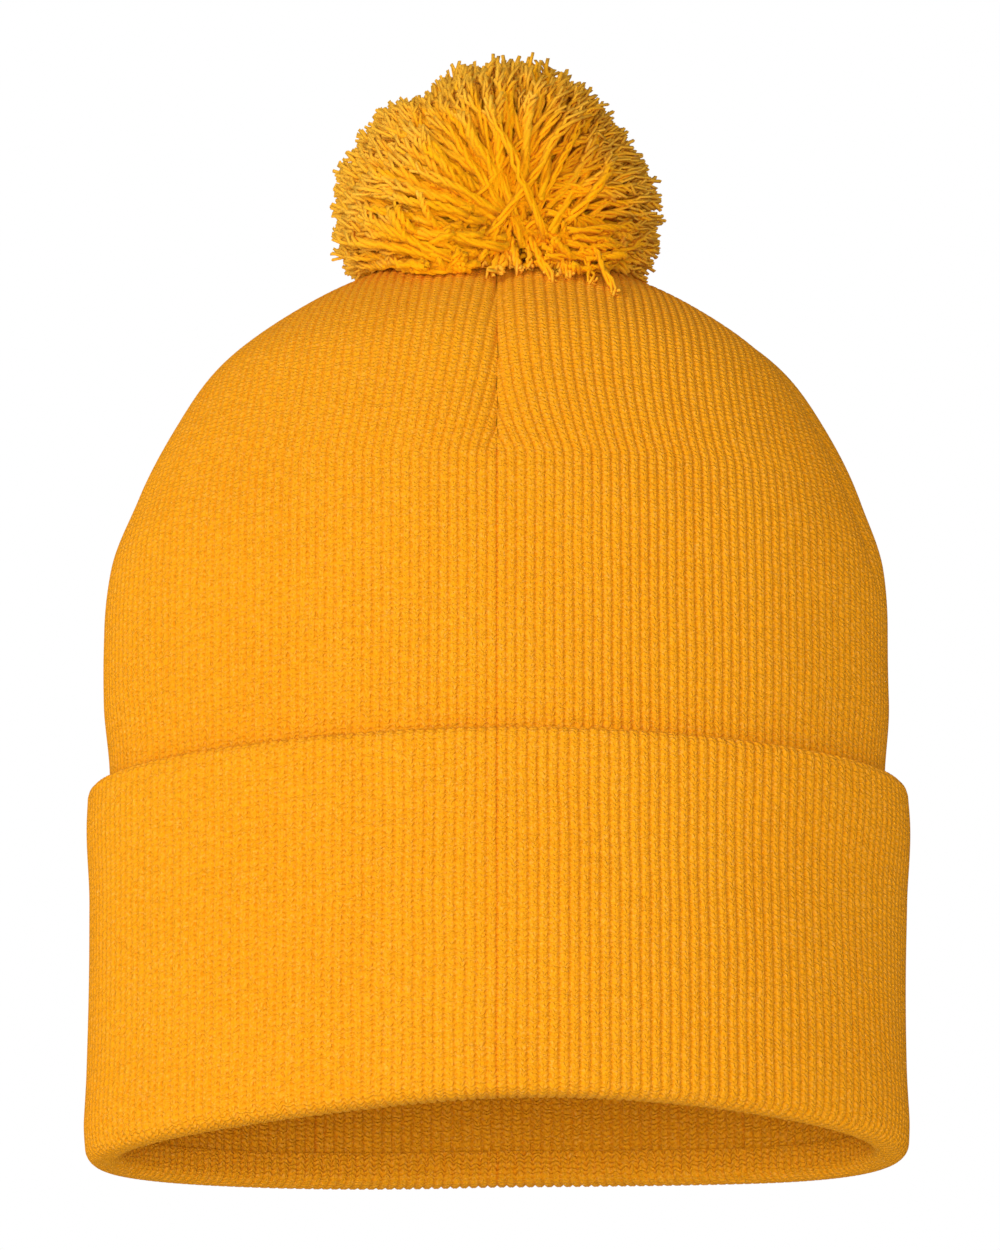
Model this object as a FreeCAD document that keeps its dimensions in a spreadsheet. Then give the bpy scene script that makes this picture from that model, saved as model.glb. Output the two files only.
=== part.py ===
import FreeCAD
import Part
import Sketcher
import os
import re

# A double-layer knit beanie with a turned-up cuff and a yarn pompom.
# Millimetres. The rim stands on z = 0, the front faces -Y and the crown points up +Z.

doc = FreeCAD.newDocument("knit_beanie")

DRIVING_SIZES = [
    ("rim_width", 181, "outside width across the cuff"),
    ("depth_loss", 60, "how much shorter every oval is from front to back than across"),
    ("cuff_height", 80.5, "rim to the top fold of the cuff"),
    ("crown_height", 204.5, "rim to the top of the crown"),
    ("dome_start", 117, "height where the wall starts to close into the crown"),
    ("knit_thickness", 1.7, "one layer of knit"),
    ("layer_gap", 0.3, "air between two layers"),
    ("crown_slack", 2.3, "extra room between the two layers in the crown"),
    ("rim_flat", 2, "width of the strip that the rim stands on"),
    ("seam_width", 3, "width of a turned-in dart seam"),
    ("seam_inner_end", 13, "distance from the axis where the dart seams stop"),
    ("lining_dart_end", 149, "lower end of the darts in the lining"),
    ("pompom_width", 72, "pompom across"),
    ("pompom_rise", 49, "top of the crown to the top of the pompom"),
    ("pompom_belly", 20, "top of the crown to the widest part of the pompom"),
    ("pompom_lift", 3, "top of the crown to the pompom's trimmed underside"),
    ("yarn_width", 2, "thickness of the tying yarn"),
    ("tie_lift", 2, "top of the crown to the bend in the tie"),
    ("tie_hole", 3.2, "opening that the tie passes through"),
    ("knot_width", 9, "knot inside the lining"),
    ("label_width", 14, "care label across"),
    ("label_drop", 26, "care label hanging length"),
    ("label_top", 62, "height where the care label is sewn on"),
]

DERIVED_SIZES = [
    ("face_outer", "=rim_width / 2"),
    ("face_inner", "=face_outer - knit_thickness"),
    ("backing_outer", "=face_inner - layer_gap"),
    ("backing_inner", "=backing_outer - knit_thickness"),
    ("shell_outer", "=backing_inner - layer_gap"),
    ("shell_inner", "=shell_outer - knit_thickness"),
    ("lining_outer", "=shell_inner - layer_gap"),
    ("lining_inner", "=lining_outer - knit_thickness"),
    ("half_loss", "=depth_loss / 2"),
    ("roll_radius", "=(face_outer - lining_inner - rim_flat) / 2"),
    ("layer_bottom", "=roll_radius + knit_thickness"),
    ("top_radius", "=(face_outer - backing_inner) / 2"),
    ("lining_dome", "=lining_outer - crown_slack"),
    ("lining_crown", "=crown_height - knit_thickness - layer_gap - crown_slack"),
    ("knot_centre", "=lining_crown - knit_thickness - knot_width / 2 - layer_gap"),
    ("bend_centre", "=crown_height + tie_lift"),
    ("bend_radius", "=yarn_width * 0.7"),
    ("belly_height", "=crown_height + pompom_belly"),
    ("pompom_bottom", "=crown_height + pompom_lift"),
]

# name, bearing in degrees from the right-hand side, lower end of the dart above the rim
SHELL_DARTS = [
    ("front", -91, 145),
    ("right", -10, 126),
    ("back", 87, 140),
    ("left", 176, 147),
]
# The lining's darts lie between the shell's, so that no two seams are stacked.
LINING_DARTS = [
    ("front_right", -53),
    ("back_right", 36),
    ("back_left", 131.5),
    ("front_left", 222.5),
]

WALL_STEPS = [0, 0.25, 0.5, 0.75, 1]
DOME_ANGLES = [15, 30, 45, 60, 72, 81, 88]
RIM_ANGLES = [90, 67.5, 45, 22.5, 0]
FOLD_ANGLES = [0, 20, 40, 60, 80]


def make_sizes():
    """The sheet of sizes that every sub-part is bound to."""
    sheet = doc.addObject("Spreadsheet::Sheet", "sizes")
    row = 1
    for alias, value, note in DRIVING_SIZES:
        sheet.set(f"A{row}", alias)
        sheet.set(f"B{row}", str(value))
        sheet.set(f"C{row}", note)
        sheet.setAlias(f"B{row}", alias)
        row += 1
    for alias, formula in DERIVED_SIZES:
        sheet.set(f"A{row}", alias)
        sheet.set(f"B{row}", formula)
        sheet.setAlias(f"B{row}", alias)
        row += 1
    for name, bearing, lower_end in SHELL_DARTS:
        sheet.set(f"A{row}", f"{name}_dart_end")
        sheet.set(f"B{row}", str(lower_end))
        sheet.setAlias(f"B{row}", f"{name}_dart_end")
        row += 1
    doc.recompute()
    return sheet


sizes = make_sizes()


def bound(formula):
    """Puts the sheet's name in front of every size in a formula."""
    return re.sub(r"[a-z]+_[a-z_]+", lambda word: f"sizes.{word.group()}", formula)


def value_of(formula):
    return float(sizes.evalExpression(bound(formula)))


def make_body(name):
    body = doc.addObject("PartDesign::Body", name)
    body.Label = name
    return body


def origin_plane(body, role):
    return [item for item in body.Origin.OriginFeatures if item.Role == role][0]


def add_sketch(body, name, role):
    sketch = body.newObject("Sketcher::SketchObject", name)
    sketch.AttachmentSupport = [(origin_plane(body, role), "")]
    sketch.MapMode = "FlatFace"
    return sketch


def add_size(sketch, name, constraint, formula):
    """Adds a named constraint that follows the sheet."""
    index = sketch.addConstraint(constraint)
    sketch.renameConstraint(index, name)
    sketch.setExpression(f"Constraints.{name}", bound(formula))


def add_oval(body, name, half_width, height, scale="1"):
    """A level oval, wider across than it is from front to back."""
    sketch = add_sketch(body, name, "XY_Plane")
    sketch.setExpression("AttachmentOffset.Base.z", bound(height))
    width = f"2 * ( {half_width} ) * {scale}"
    depth = f"2 * ( {half_width} - half_loss ) * {scale}"
    back = FreeCAD.Vector(0, value_of(depth) / 2, 0)
    side = FreeCAD.Vector(value_of(width) / 2, 0, 0)
    oval = sketch.addGeometry(Part.Ellipse(side, back, FreeCAD.Vector()), False)
    sketch.exposeInternalGeometry(oval)
    sketch.addConstraint(Sketcher.Constraint("Coincident", oval, 3, -1, 1))
    sketch.addConstraint(Sketcher.Constraint("Horizontal", oval + 1))
    add_size(sketch, "width", Sketcher.Constraint("Distance", oval + 1, value_of(width)), width)
    add_size(sketch, "depth", Sketcher.Constraint("Distance", oval + 2, value_of(depth)), depth)
    return sketch


def add_dome(body, name, kind, wall, dome, bottom, crown):
    """A wall of equal ovals that closes over an elliptical crown."""
    sections = []
    for step in WALL_STEPS:
        height = f"{bottom} + ( dome_start - ( {bottom} ) ) * {step}"
        half_width = f"{wall} + ( {dome} - ( {wall} ) ) * {step ** 2}"
        sections.append(add_oval(body, f"{name}_wall_{len(sections)}", half_width, height))
    for angle in DOME_ANGLES:
        height = f"dome_start + ( {crown} - dome_start ) * sin({angle})"
        sections.append(add_oval(body, f"{name}_dome_{angle}", dome, height, f"cos({angle})"))
    loft = body.newObject(f"PartDesign::{kind}Loft", name)
    loft.Profile = sections[0]
    loft.Sections = sections[1:]
    return loft


def add_outline(sketch, points):
    """A closed outline of straight sides between points (across, up)."""
    corners = [FreeCAD.Vector(value_of(across), value_of(up), 0) for across, up in points]
    count = len(points)
    for i in range(count):
        sketch.addGeometry(Part.LineSegment(corners[i], corners[(i + 1) % count]), False)
    for i, (across, up) in enumerate(points):
        sketch.addConstraint(Sketcher.Constraint("Coincident", i, 2, (i + 1) % count, 1))
        across_size = Sketcher.Constraint("DistanceX", -1, 1, i, 1, corners[i].x)
        up_size = Sketcher.Constraint("DistanceY", -1, 1, i, 1, corners[i].y)
        add_size(sketch, f"across_{i}", across_size, across)
        add_size(sketch, f"up_{i}", up_size, up)


def add_rings(body, name, kind, rings):
    """A solid or a hollow that runs straight from each level oval to the next one up."""
    sections = []
    for half_width, height in rings:
        sections.append(add_oval(body, f"{name}_{len(sections)}", half_width, height))
    loft = body.newObject(f"PartDesign::{kind}Loft", name)
    loft.Profile = sections[0]
    loft.Sections = sections[1:]
    loft.Ruled = True
    return loft


def rings_round(half_width, height, radius, outward, upward, angles):
    """The ovals round a bend of the knit, given the bend's centre, radius and the side it lies on."""
    rings = []
    for angle in angles:
        across = f"{half_width} + ( {radius} ) * {outward} * cos({angle})"
        rings.append((across, f"{height} + ( {radius} ) * {upward} * sin({angle})"))
    return rings


def add_disc_sketch(body, name, role, across, up, radius):
    """A round section at a stated place."""
    sketch = add_sketch(body, name, role)
    centre = FreeCAD.Vector(value_of(across), value_of(up), 0)
    ring = Part.Circle(centre, FreeCAD.Vector(0, 0, 1), value_of(radius))
    sketch.addGeometry(ring, False)
    add_size(sketch, "radius", Sketcher.Constraint("Radius", 0, value_of(radius)), radius)
    add_size(sketch, "across", Sketcher.Constraint("DistanceX", -1, 1, 0, 3, centre.x), across)
    add_size(sketch, "up", Sketcher.Constraint("DistanceY", -1, 1, 0, 3, centre.y), up)
    return sketch


def add_pin(body, name, radius, bottom, top):
    """An upright round length of yarn on the hat's axis."""
    sketch = add_sketch(body, f"{name}_section", "XY_Plane")
    sketch.setExpression("AttachmentOffset.Base.z", bound(bottom))
    ring = Part.Circle(FreeCAD.Vector(), FreeCAD.Vector(0, 0, 1), value_of(radius))
    sketch.addGeometry(ring, False)
    sketch.addConstraint(Sketcher.Constraint("Coincident", 0, 3, -1, 1))
    add_size(sketch, "radius", Sketcher.Constraint("Radius", 0, value_of(radius)), radius)
    pad = body.newObject("PartDesign::Pad", name)
    pad.Profile = sketch
    pad.setExpression("Length", bound(f"{top} - ( {bottom} )"))
    return pad


def cut_tie_hole(body, name, top):
    """Opens the crown for the tie, from the top of a dome down through it."""
    sketch = add_sketch(body, f"{name}_section", "XY_Plane")
    sketch.setExpression("AttachmentOffset.Base.z", bound(f"{top} + knit_thickness"))
    ring = Part.Circle(FreeCAD.Vector(), FreeCAD.Vector(0, 0, 1), value_of("tie_hole / 2"))
    sketch.addGeometry(ring, False)
    sketch.addConstraint(Sketcher.Constraint("Coincident", 0, 3, -1, 1))
    add_size(sketch, "radius", Sketcher.Constraint("Radius", 0, value_of("tie_hole / 2")), "tie_hole / 2")
    pocket = body.newObject("PartDesign::Pocket", name)
    pocket.Profile = sketch
    pocket.setExpression("Length", bound("knit_thickness * 4"))
    return pocket


def make_outer_shell():
    body = make_body("outer_shell")
    inside_crown = "( crown_height - knit_thickness )"
    add_dome(body, "shell_outside", "Additive", "shell_outer", "shell_outer", "layer_bottom", "crown_height")
    add_dome(body, "shell_inside", "Subtractive", "shell_inner", "shell_inner", "layer_bottom", inside_crown)
    cut_tie_hole(body, "shell_tie_hole", "crown_height")
    return body


def make_lining():
    body = make_body("lining")
    inner_dome = "( lining_dome - knit_thickness )"
    inside_crown = "( lining_crown - knit_thickness )"
    add_dome(body, "lining_outside", "Additive", "lining_outer", "lining_dome", "layer_bottom", "lining_crown")
    add_dome(body, "lining_inside", "Subtractive", "lining_inner", inner_dome, "layer_bottom", inside_crown)
    cut_tie_hole(body, "lining_tie_hole", "lining_crown")
    return body


def make_cuff_face():
    """The outermost layer: top fold, face, rolled rim and the short turn up inside the head opening."""
    body = make_body("cuff_face")
    leg_top = "layer_bottom - layer_gap"
    top_bend = "( cuff_height - top_radius )"
    top_middle = "( face_outer - top_radius )"
    outer_bend = "( face_outer - roll_radius )"
    inner_bend = "( lining_inner + roll_radius )"
    inner_roll = "roll_radius - knit_thickness"
    outside = rings_round(outer_bend, "roll_radius", "roll_radius", 1, -1, RIM_ANGLES)
    outside += rings_round(top_middle, top_bend, "top_radius", 1, 1, FOLD_ANGLES)
    hollow = rings_round(outer_bend, "roll_radius", inner_roll, 1, -1, RIM_ANGLES)
    hollow += [("face_inner", top_bend)]
    mouth = rings_round(top_middle, top_bend, "top_radius", -1, 1, FOLD_ANGLES)
    leg = rings_round(inner_bend, "roll_radius", inner_roll, -1, -1, RIM_ANGLES)
    leg += [("lining_outer", leg_top)]
    opening = rings_round(inner_bend, "roll_radius", "roll_radius", -1, -1, RIM_ANGLES)
    opening += [("lining_inner", leg_top)]
    add_rings(body, "face_outside", "Additive", outside)
    add_rings(body, "face_hollow", "Subtractive", hollow)
    add_rings(body, "face_mouth", "Subtractive", mouth)
    add_rings(body, "face_leg", "Additive", leg)
    add_rings(body, "face_opening", "Subtractive", opening)
    return body


def make_cuff_backing():
    """The layer behind the face. It turns in under the shell inside the rolled rim."""
    body = make_body("cuff_backing")
    floor = "knit_thickness + layer_gap * 2"
    shelf = "layer_bottom - knit_thickness / 4 - layer_gap"
    leg_top = "layer_bottom - layer_gap"
    top = "cuff_height - top_radius - layer_gap"
    add_rings(body, "backing_outside", "Additive", [("backing_outer", floor), ("backing_outer", top)])
    add_rings(body, "backing_inside", "Subtractive", [("backing_inner", shelf), ("backing_inner", top)])
    add_rings(body, "backing_leg", "Additive", [("shell_outer", shelf), ("shell_outer", leg_top)])
    add_rings(body, "backing_opening", "Subtractive", [("shell_inner", floor), ("shell_inner", leg_top)])
    return body


def make_seam_layer():
    """The room between the two crowns, that the turned-in dart seams are cut from. Not a sub-part."""
    body = make_body("seam_layer")
    outside = "( shell_inner - layer_gap )"
    outside_crown = "( crown_height - knit_thickness - layer_gap )"
    inside = "( lining_dome + layer_gap )"
    inside_crown = "( lining_crown + layer_gap )"
    start = "dome_start"
    for name, kind, half_width, crown in (
        ("seam_layer_outside", "Additive", outside, outside_crown),
        ("seam_layer_inside", "Subtractive", inside, inside_crown),
    ):
        sections = [add_oval(body, f"{name}_foot", half_width, start)]
        for angle in DOME_ANGLES:
            height = f"dome_start + ( {crown} - dome_start ) * sin({angle})"
            sections.append(add_oval(body, f"{name}_{angle}", half_width, height, f"cos({angle})"))
        loft = body.newObject(f"PartDesign::{kind}Loft", name)
        loft.Profile = sections[0]
        loft.Sections = sections[1:]
    return body


def make_seam(layer, name, bearing, lower_end):
    """One dart seam: the part of the seam layer that an upright slab takes out."""
    slab = doc.addObject("Part::Box", f"{name}_slab")
    slab.setExpression("Length", bound("rim_width"))
    slab.setExpression("Width", bound("seam_width"))
    slab.setExpression("Height", bound("crown_height"))
    across = f"seam_inner_end * cos({bearing}) + seam_width / 2 * sin({bearing})"
    along = f"seam_inner_end * sin({bearing}) - seam_width / 2 * cos({bearing})"
    slab.Placement = FreeCAD.Placement(FreeCAD.Vector(), FreeCAD.Rotation(FreeCAD.Vector(0, 0, 1), bearing))
    slab.setExpression("Placement.Base.x", bound(across))
    slab.setExpression("Placement.Base.y", bound(along))
    slab.setExpression("Placement.Base.z", bound(lower_end))
    seam = doc.addObject("Part::Common", name)
    seam.Base = layer
    seam.Tool = slab
    seam.Label = name
    return seam


def make_crown_stitch():
    """The ring of yarn, between the two crowns, that gathers the dart ends."""
    body = make_body("crown_stitch")
    height = "crown_height - knit_thickness - layer_gap - crown_slack / 2"
    section = add_disc_sketch(body, "crown_stitch_section", "XZ_Plane", "tie_hole * 2", height, "crown_slack * 0.3")
    ring = body.newObject("PartDesign::Revolution", "crown_stitch_ring")
    ring.Profile = section
    ring.ReferenceAxis = (section, ["V_Axis"])
    ring.Angle = 360
    return body


def make_tie_anchor():
    """The length of tying yarn that runs from the knot up through both crowns."""
    body = make_body("tie_anchor")
    bottom = "knot_centre + knot_width / 2 - layer_gap"
    top = "bend_centre - bend_radius - layer_gap"
    add_pin(body, "tie_anchor_yarn", "yarn_width / 2", bottom, top)
    return body


def make_tie_knot():
    """The knot inside the lining, with its two cut ends as one short tail."""
    body = make_body("tie_knot")
    ball = body.newObject("PartDesign::AdditiveSphere", "tie_knot_ball")
    ball.AttachmentSupport = [(origin_plane(body, "XY_Plane"), "")]
    ball.MapMode = "FlatFace"
    ball.setExpression("Radius", bound("knot_width / 2 - layer_gap"))
    ball.setExpression("AttachmentOffset.Base.z", bound("knot_centre"))
    tail_bottom = "knot_centre - knot_width * 1.6"
    add_pin(body, "tie_knot_tail", "yarn_width * 0.6", tail_bottom, "knot_centre")
    return body


def make_tie_bend():
    """The short length of tie that bends as the pompom sways."""
    body = make_body("tie_bend")
    ball = body.newObject("PartDesign::AdditiveSphere", "tie_bend_ball")
    ball.AttachmentSupport = [(origin_plane(body, "XY_Plane"), "")]
    ball.MapMode = "FlatFace"
    ball.setExpression("Radius", bound("bend_radius"))
    ball.setExpression("AttachmentOffset.Base.z", bound("bend_centre"))
    return body


def make_pompom_tie():
    """The upper length of the tie, inside the pompom."""
    body = make_body("pompom_tie")
    bottom = "bend_centre + bend_radius + layer_gap"
    top = "belly_height - yarn_width * 3 - layer_gap"
    add_pin(body, "pompom_tie_yarn", "yarn_width / 2", bottom, top)
    return body


def make_pompom_binding():
    """Three wraps of yarn, side by side, that hold the pompom's strands at their middle."""
    body = make_body("pompom_binding")
    for wrap, shift in enumerate(("- yarn_width * 0.8", "0", "yarn_width * 0.8")):
        sketch = add_sketch(body, f"binding_section_{wrap}", "XZ_Plane")
        sketch.setExpression("AttachmentOffset.Base.y", bound("belly_height"))
        centre = FreeCAD.Vector(value_of(shift), value_of("yarn_width * 2"), 0)
        ring = Part.Circle(centre, FreeCAD.Vector(0, 0, 1), value_of("yarn_width / 2"))
        sketch.addGeometry(ring, False)
        add_size(sketch, "radius", Sketcher.Constraint("Radius", 0, value_of("yarn_width / 2")), "yarn_width / 2")
        add_size(sketch, "across", Sketcher.Constraint("DistanceX", -1, 1, 0, 3, centre.x), shift)
        add_size(sketch, "up", Sketcher.Constraint("DistanceY", -1, 1, 0, 3, centre.y), "yarn_width * 2")
        turn = body.newObject("PartDesign::Revolution", f"binding_wrap_{wrap}")
        turn.Profile = sketch
        turn.ReferenceAxis = (sketch, ["H_Axis"])
        turn.Angle = 360
    return body


def make_pompom_pile():
    """The ball of cut yarn ends, trimmed flat underneath, with room inside for the binding and tie."""
    body = make_body("pompom_pile")
    ball = body.newObject("PartDesign::AdditiveEllipsoid", "pile_ball")
    ball.AttachmentSupport = [(origin_plane(body, "XY_Plane"), "")]
    ball.MapMode = "FlatFace"
    ball.setExpression("Radius1", bound("pompom_rise - pompom_belly"))
    ball.setExpression("Radius2", bound("pompom_width / 2"))
    ball.setExpression("Radius3", bound("pompom_width / 2"))
    ball.setExpression("AttachmentOffset.Base.z", bound("belly_height"))
    trim = body.newObject("PartDesign::SubtractiveCylinder", "pile_trim")
    trim.AttachmentSupport = [(origin_plane(body, "XY_Plane"), "")]
    trim.MapMode = "FlatFace"
    trim.setExpression("Radius", bound("pompom_width"))
    trim.setExpression("Height", bound("pompom_width"))
    trim.setExpression("AttachmentOffset.Base.z", bound("pompom_bottom - pompom_width"))
    room = body.newObject("PartDesign::SubtractiveSphere", "pile_room")
    room.AttachmentSupport = [(origin_plane(body, "XY_Plane"), "")]
    room.MapMode = "FlatFace"
    room.setExpression("Radius", bound("yarn_width * 3"))
    room.setExpression("AttachmentOffset.Base.z", bound("belly_height"))
    channel = body.newObject("PartDesign::SubtractiveCylinder", "pile_channel")
    channel.AttachmentSupport = [(origin_plane(body, "XY_Plane"), "")]
    channel.MapMode = "FlatFace"
    channel.setExpression("Radius", bound("tie_hole * 0.75"))
    channel.setExpression("Height", bound("pompom_belly - pompom_lift + yarn_width"))
    channel.setExpression("AttachmentOffset.Base.z", bound("pompom_bottom - yarn_width"))
    return body


def make_care_label():
    """A blank folded label that hangs inside, on the left, in front of the lining."""
    body = make_body("care_label")
    outline = add_sketch(body, "care_label_outline", "XZ_Plane")
    back = "- lining_inner + layer_gap * 5"
    leaf = "layer_gap"
    points = [
        (f"{back} + {leaf} * 3", "label_top"),
        (f"{back} + {leaf} * 2", "label_top"),
        (f"{back} + {leaf} * 2", f"label_top - label_drop + {leaf}"),
        (f"{back} + {leaf}", f"label_top - label_drop + {leaf}"),
        (f"{back} + {leaf}", "label_top"),
        (back, "label_top"),
        (back, "label_top - label_drop"),
        (f"{back} + {leaf} * 3", "label_top - label_drop"),
    ]
    add_outline(outline, points)
    pad = body.newObject("PartDesign::Pad", "care_label_pad")
    pad.Profile = outline
    pad.Midplane = True
    pad.setExpression("Length", bound("label_width"))
    return body


def make_label_stitching():
    """The line of thread across the top of the label."""
    body = make_body("label_stitching")
    height = "label_top + yarn_width / 4"
    across = "- lining_inner + layer_gap * 6.5"
    thread = add_disc_sketch(body, "stitching_section", "XZ_Plane", across, height, "yarn_width / 5")
    pad = body.newObject("PartDesign::Pad", "stitching_pad")
    pad.Profile = thread
    pad.Midplane = True
    pad.setExpression("Length", bound("label_width"))
    return body


def make_all():
    sub_parts = [make_outer_shell(), make_lining(), make_cuff_face(), make_cuff_backing()]
    layer = make_seam_layer()
    for name, bearing, lower_end in SHELL_DARTS:
        sub_parts.append(make_seam(layer, f"dart_seam_{name}", bearing, f"{name}_dart_end"))
    for name, bearing in LINING_DARTS:
        sub_parts.append(make_seam(layer, f"lining_seam_{name}", bearing, "lining_dart_end"))
    sub_parts += [
        make_crown_stitch(),
        make_tie_anchor(),
        make_tie_knot(),
        make_tie_bend(),
        make_pompom_tie(),
        make_pompom_binding(),
        make_pompom_pile(),
        make_care_label(),
        make_label_stitching(),
    ]
    return sub_parts


def check_document(sub_parts):
    """Stops the build if anything in the document failed."""
    for item in doc.Objects:
        if "Invalid" in item.State or "Error" in item.State:
            raise RuntimeError(f"{item.Name}: {item.getStatusString()}")
    for item in sub_parts:
        if item.Shape.isNull() or not item.Shape.isValid():
            raise RuntimeError(f"{item.Label} has no valid shape")
        if len(item.Shape.Solids) != 1:
            raise RuntimeError(f"{item.Label} has {len(item.Shape.Solids)} solids")


def write_parts(sub_parts):
    os.makedirs("parts", exist_ok=True)
    for item in sub_parts:
        item.Shape.exportStep(f"parts/{item.Label}.step")


all_sub_parts = make_all()
doc.recompute()
check_document(all_sub_parts)
write_parts(all_sub_parts)
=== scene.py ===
import math

import bpy
import numpy as np
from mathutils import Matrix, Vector


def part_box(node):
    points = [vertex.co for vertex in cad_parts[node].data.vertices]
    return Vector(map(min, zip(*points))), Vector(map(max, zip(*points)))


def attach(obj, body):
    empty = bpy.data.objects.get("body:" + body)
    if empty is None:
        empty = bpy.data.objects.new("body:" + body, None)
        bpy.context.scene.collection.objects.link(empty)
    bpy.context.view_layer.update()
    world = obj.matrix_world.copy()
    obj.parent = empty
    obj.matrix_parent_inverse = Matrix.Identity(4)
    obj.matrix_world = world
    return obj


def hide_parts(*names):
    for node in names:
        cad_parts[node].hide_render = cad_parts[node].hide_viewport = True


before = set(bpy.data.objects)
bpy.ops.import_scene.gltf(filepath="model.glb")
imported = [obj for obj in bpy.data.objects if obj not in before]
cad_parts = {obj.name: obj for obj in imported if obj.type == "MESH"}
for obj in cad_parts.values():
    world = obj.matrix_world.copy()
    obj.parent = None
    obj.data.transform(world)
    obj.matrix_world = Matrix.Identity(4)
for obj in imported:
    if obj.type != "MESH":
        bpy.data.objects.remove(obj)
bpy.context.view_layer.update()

MM = 0.001

# ---------------------------------------------------------------------------
# Sizes, read from the frame
# ---------------------------------------------------------------------------

face_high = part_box("cuff_face")[1]
shell_low, shell_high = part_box("outer_shell")
lining_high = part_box("lining")[1]
pile_low, pile_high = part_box("pompom_pile")
anchor_low, anchor_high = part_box("tie_anchor")
bend_low, bend_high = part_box("tie_bend")
pompom_tie_low, pompom_tie_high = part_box("pompom_tie")
knot_low, knot_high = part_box("tie_knot")
binding_low, binding_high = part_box("pompom_binding")
stitch_low, stitch_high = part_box("crown_stitch")
label_low, label_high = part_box("care_label")
thread_low, thread_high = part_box("label_stitching")

KNIT = 1.7 * MM
GAP = 0.3 * MM

# every oval's half depth is its half width plus this, which is negative because the hat lies flattened
EXTRA = round((face_high.y - face_high.x) / MM) * MM

# half widths of the layers' surfaces, from the outside in
FACE_OUT = face_high.y - EXTRA
BACKING_IN = FACE_OUT - 2 * KNIT - GAP
SHELL_OUT = BACKING_IN - GAP
LINING_IN = SHELL_OUT - 2 * KNIT - GAP
LINING_DOME = LINING_IN - 2.3 * MM

CUFF_TOP = face_high.z
LAYER_BOTTOM = shell_low.z
CROWN_TOP = shell_high.z
LINING_TOP = lining_high.z - KNIT
DOME_START = 117 * MM

RIB_PITCH = 2.20 * MM
COURSE_PITCH = 1.17 * MM
RIB_DEPTH = 0.55 * MM
RIBS = 216
LINING_RIBS = 190
RIB_STEPS = 6

# bearing in degrees from the right-hand side, and the height in mm where the dart begins
SHELL_DARTS = [(-91, 145), (-10, 126), (87, 140), (176, 147)]
LINING_DARTS = [(-53, 149), (36, 149), (131.5, 149), (222.5, 149)]


# ---------------------------------------------------------------------------
# Small helpers
# ---------------------------------------------------------------------------


def smooth(low, high, x):
    """A smooth step from 0 at low to 1 at high."""
    t = np.clip((x - low) / (high - low), 0, 1)
    return t * t * (3 - 2 * t)


def waves(x, y, seed, low=1, high=3):
    """Slow, seamless unevenness from -1 to 1, over x and y in radians."""
    rng = np.random.default_rng(seed)
    total = np.zeros(np.broadcast(x, y).shape)
    weights = 0
    for _ in range(5):
        turns = rng.integers(low, high + 1)
        rise = rng.uniform(-high, high)
        weight = rng.uniform(0.5, 1)
        total = total + weight * np.sin(turns * x + rise * y + rng.uniform(0, 2 * math.pi))
        weights += weight
    return total / weights


def add_object(name, mesh):
    obj = bpy.data.objects.new(name, mesh)
    bpy.context.scene.collection.objects.link(obj)
    return obj


def mesh_from(name, points, faces, uv):
    """A mesh object from points, faces (rows of 4 corners, -1 for none) and a knit coordinate per point."""
    used = faces >= 0
    counts = used.sum(1)
    corners = faces[used]
    mesh = bpy.data.meshes.new(name)
    mesh.vertices.add(len(points))
    mesh.vertices.foreach_set("co", np.asarray(points, np.float32).ravel())
    mesh.loops.add(len(corners))
    mesh.loops.foreach_set("vertex_index", corners.astype(np.int32))
    mesh.polygons.add(len(faces))
    starts = np.concatenate([[0], np.cumsum(counts)[:-1]])
    mesh.polygons.foreach_set("loop_start", starts.astype(np.int32))
    mesh.polygons.foreach_set("use_smooth", np.full(len(faces), True))
    layer = mesh.uv_layers.new(name="knit")
    layer.data.foreach_set("uv", np.asarray(uv, np.float32)[corners].ravel())
    mesh.update(calc_edges=True)
    mesh.validate()
    return add_object(name, mesh)


def grid_faces(index):
    """Quads over a grid of vertex numbers. Corners that share a number make a triangle, or nothing."""
    a = index[:-1, :-1].ravel()
    b = index[:-1, 1:].ravel()
    c = index[1:, 1:].ravel()
    d = index[1:, :-1].ravel()
    quads = np.stack([a, b, c, d], 1)
    merged_sides = [a == b, b == c, c == d, d == a]
    kept_corners = [(1, 2, 3), (0, 2, 3), (0, 1, 3), (0, 1, 2)]
    merged = np.sum(merged_sides, axis=0)
    three = [quads[(merged == 1) & side][:, kept] for side, kept in zip(merged_sides, kept_corners)]
    return np.concatenate([quads[merged == 0], fill_corner(np.concatenate(three))])


def fill_corner(triangles):
    """Triangles as rows of four, with -1 for the corner that they don't have."""
    return np.hstack([triangles, np.full((len(triangles), 1), -1)])


# ---------------------------------------------------------------------------
# The oval that every level of the hat follows
# ---------------------------------------------------------------------------


def oval_table(half_width):
    """Arc length round an oval, from the right-hand side, against its angle parameter."""
    angle = np.linspace(0, 2 * math.pi, 4001)
    x = half_width * np.cos(angle)
    y = (half_width + EXTRA) * np.sin(angle)
    steps = np.hypot(np.diff(x), np.diff(y))
    return angle, np.concatenate([[0], np.cumsum(steps)])


def oval_angle(half_width, share):
    """Angle parameter at a share of the way round, where whole numbers are whole turns."""
    angle, length = oval_table(half_width)
    turns = np.floor(share)
    return np.interp((share - turns) * length[-1], length, angle) + turns * 2 * math.pi


def bearing_share(half_width, bearing):
    """How far round the oval a compass bearing lies."""
    angle, length = oval_table(half_width)
    turns = math.floor(bearing / 360)
    rest = math.radians(bearing - turns * 360)
    parameter = math.atan2(math.sin(rest) / (half_width + EXTRA), math.cos(rest) / half_width)
    return np.interp(parameter % (2 * math.pi), angle, length) / length[-1] + turns


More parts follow.
